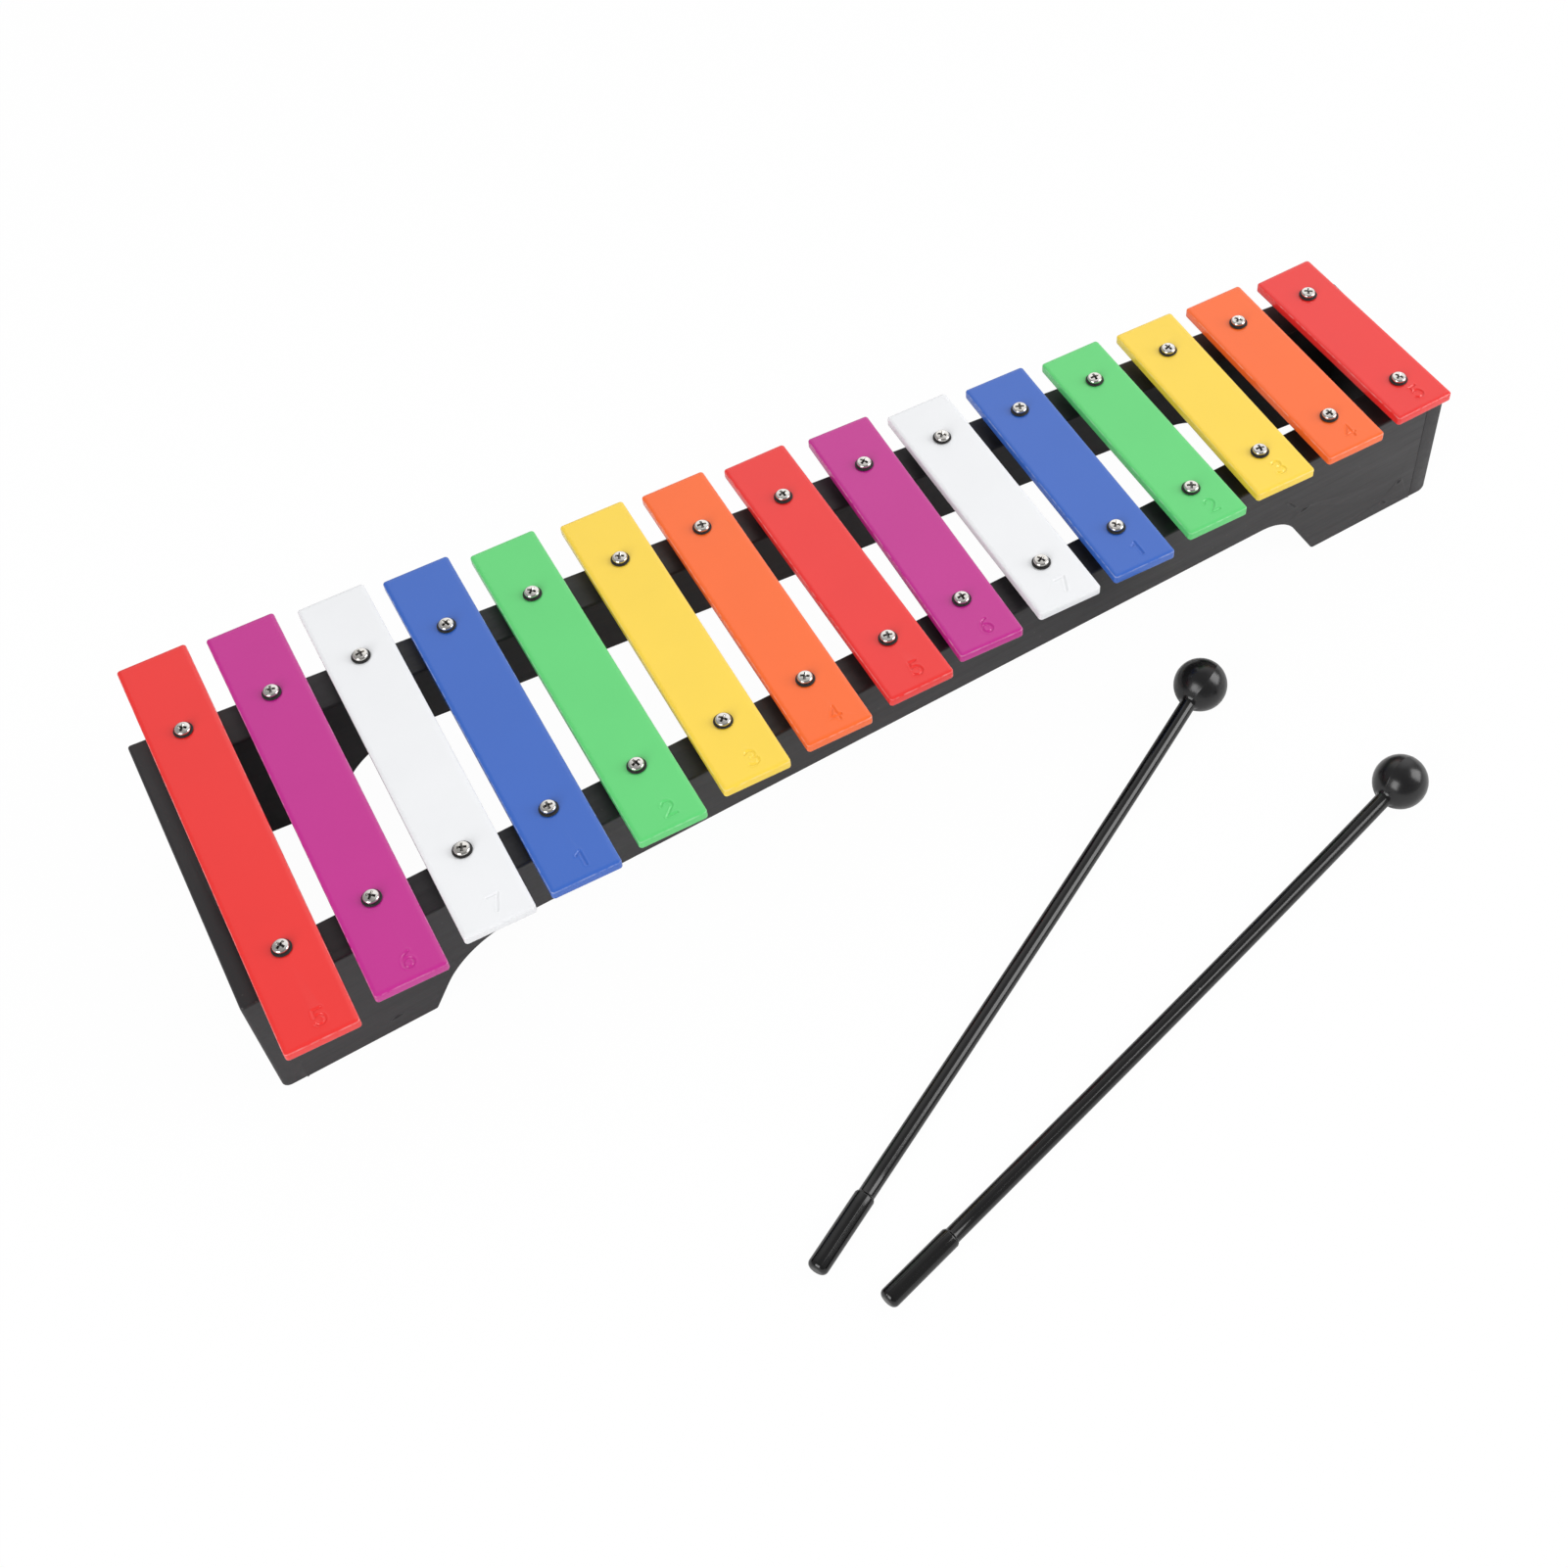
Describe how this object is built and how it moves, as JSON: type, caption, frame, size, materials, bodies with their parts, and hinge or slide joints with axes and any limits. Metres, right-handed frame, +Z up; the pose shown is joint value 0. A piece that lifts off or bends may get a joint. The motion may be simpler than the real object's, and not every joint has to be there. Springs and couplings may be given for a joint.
{
  "type": "xylophone",
  "caption": "Tabletop bar chime with coloured steel bars screwed to a tapered black wooden frame, with one-piece plastic mallets lying in front.",
  "frame": {"origin": "middle of the whole set, instrument and mallets, on the floor under it", "axes": "+X along the instrument towards the short bars, +Y away from the player, +Z up"},
  "size_m": [0.3902, 0.253, 0.0516],
  "materials": {
    "enamel_red": "semi-gloss enamel",
    "enamel_purple": "semi-gloss enamel",
    "enamel_white": "semi-gloss enamel",
    "enamel_blue": "semi-gloss enamel",
    "enamel_green": "semi-gloss enamel",
    "enamel_yellow": "semi-gloss enamel",
    "enamel_orange": "semi-gloss enamel",
    "black_painted_wood": "satin paint",
    "nickel_screw": "bright nickel plate",
    "bright_nail": "plain",
    "black_plastic": "gloss"
  },
  "bodies": {
    "frame": {"rail_front": "black_painted_wood", "rail_back": "black_painted_wood", "end_board_left": "black_painted_wood", "end_board_right": "black_painted_wood", "nail_front_left_low": "bright_nail", "nail_front_left_high": "bright_nail", "nail_front_right_low": "bright_nail", "nail_front_right_high": "bright_nail", "nail_back_left_low": "bright_nail", "nail_back_left_high": "bright_nail", "nail_back_right_low": "bright_nail", "nail_back_right_high": "bright_nail", "screw_front_01": "nickel_screw", "screw_front_02": "nickel_screw", "screw_front_03": "nickel_screw", "screw_front_04": "nickel_screw", "screw_front_05": "nickel_screw", "screw_front_06": "nickel_screw", "screw_front_07": "nickel_screw", "screw_front_08": "nickel_screw", "screw_front_09": "nickel_screw", "screw_front_10": "nickel_screw", "screw_front_11": "nickel_screw", "screw_front_12": "nickel_screw", "screw_front_13": "nickel_screw", "screw_front_14": "nickel_screw", "screw_front_15": "nickel_screw", "screw_back_01": "nickel_screw", "screw_back_02": "nickel_screw", "screw_back_03": "nickel_screw", "screw_back_04": "nickel_screw", "screw_back_05": "nickel_screw", "screw_back_06": "nickel_screw", "screw_back_07": "nickel_screw", "screw_back_08": "nickel_screw", "screw_back_09": "nickel_screw", "screw_back_10": "nickel_screw", "screw_back_11": "nickel_screw", "screw_back_12": "nickel_screw", "screw_back_13": "nickel_screw", "screw_back_14": "nickel_screw", "screw_back_15": "nickel_screw"},
    "bar_01": {"bar_01": "enamel_red"},
    "bar_02": {"bar_02": "enamel_purple"},
    "bar_03": {"bar_03": "enamel_white"},
    "bar_04": {"bar_04": "enamel_blue"},
    "bar_05": {"bar_05": "enamel_green"},
    "bar_06": {"bar_06": "enamel_yellow"},
    "bar_07": {"bar_07": "enamel_orange"},
    "bar_08": {"bar_08": "enamel_red"},
    "bar_09": {"bar_09": "enamel_purple"},
    "bar_10": {"bar_10": "enamel_white"},
    "bar_11": {"bar_11": "enamel_blue"},
    "bar_12": {"bar_12": "enamel_green"},
    "bar_13": {"bar_13": "enamel_yellow"},
    "bar_14": {"bar_14": "enamel_orange"},
    "bar_15": {"bar_15": "enamel_red"},
    "mallet_rear": {"mallet_rear": "black_plastic"},
    "mallet_front": {"mallet_front": "black_plastic"}
  },
  "joints": [
    {"name": "bar_01_float", "type": "slide", "parent": "frame", "child": "bar_01", "axis": [0, 0, 1], "range_m": [0, 0.0002]},
    {"name": "bar_02_float", "type": "slide", "parent": "frame", "child": "bar_02", "axis": [0, 0, 1], "range_m": [0, 0.0002]},
    {"name": "bar_03_float", "type": "slide", "parent": "frame", "child": "bar_03", "axis": [0, 0, 1], "range_m": [0, 0.0002]},
    {"name": "bar_04_float", "type": "slide", "parent": "frame", "child": "bar_04", "axis": [0, 0, 1], "range_m": [0, 0.0002]},
    {"name": "bar_05_float", "type": "slide", "parent": "frame", "child": "bar_05", "axis": [0, 0, 1], "range_m": [0, 0.0002]},
    {"name": "bar_06_float", "type": "slide", "parent": "frame", "child": "bar_06", "axis": [0, 0, 1], "range_m": [0, 0.0002]},
    {"name": "bar_07_float", "type": "slide", "parent": "frame", "child": "bar_07", "axis": [0, 0, 1], "range_m": [0, 0.0002]},
    {"name": "bar_08_float", "type": "slide", "parent": "frame", "child": "bar_08", "axis": [0, 0, 1], "range_m": [0, 0.0002]},
    {"name": "bar_09_float", "type": "slide", "parent": "frame", "child": "bar_09", "axis": [0, 0, 1], "range_m": [0, 0.0002]},
    {"name": "bar_10_float", "type": "slide", "parent": "frame", "child": "bar_10", "axis": [0, 0, 1], "range_m": [0, 0.0002]},
    {"name": "bar_11_float", "type": "slide", "parent": "frame", "child": "bar_11", "axis": [0, 0, 1], "range_m": [0, 0.0002]},
    {"name": "bar_12_float", "type": "slide", "parent": "frame", "child": "bar_12", "axis": [0, 0, 1], "range_m": [0, 0.0002]},
    {"name": "bar_13_float", "type": "slide", "parent": "frame", "child": "bar_13", "axis": [0, 0, 1], "range_m": [0, 0.0002]},
    {"name": "bar_14_float", "type": "slide", "parent": "frame", "child": "bar_14", "axis": [0, 0, 1], "range_m": [0, 0.0002]},
    {"name": "bar_15_float", "type": "slide", "parent": "frame", "child": "bar_15", "axis": [0, 0, 1], "range_m": [0, 0.0002]},
    {"name": "mallet_rear_lift", "type": "slide", "parent": "frame", "child": "mallet_rear", "axis": [0, 0, 1], "range_m": [0, 0.12]},
    {"name": "mallet_front_lift", "type": "slide", "parent": "frame", "child": "mallet_front", "axis": [0, 0, 1], "range_m": [0, 0.12]}
  ]
}
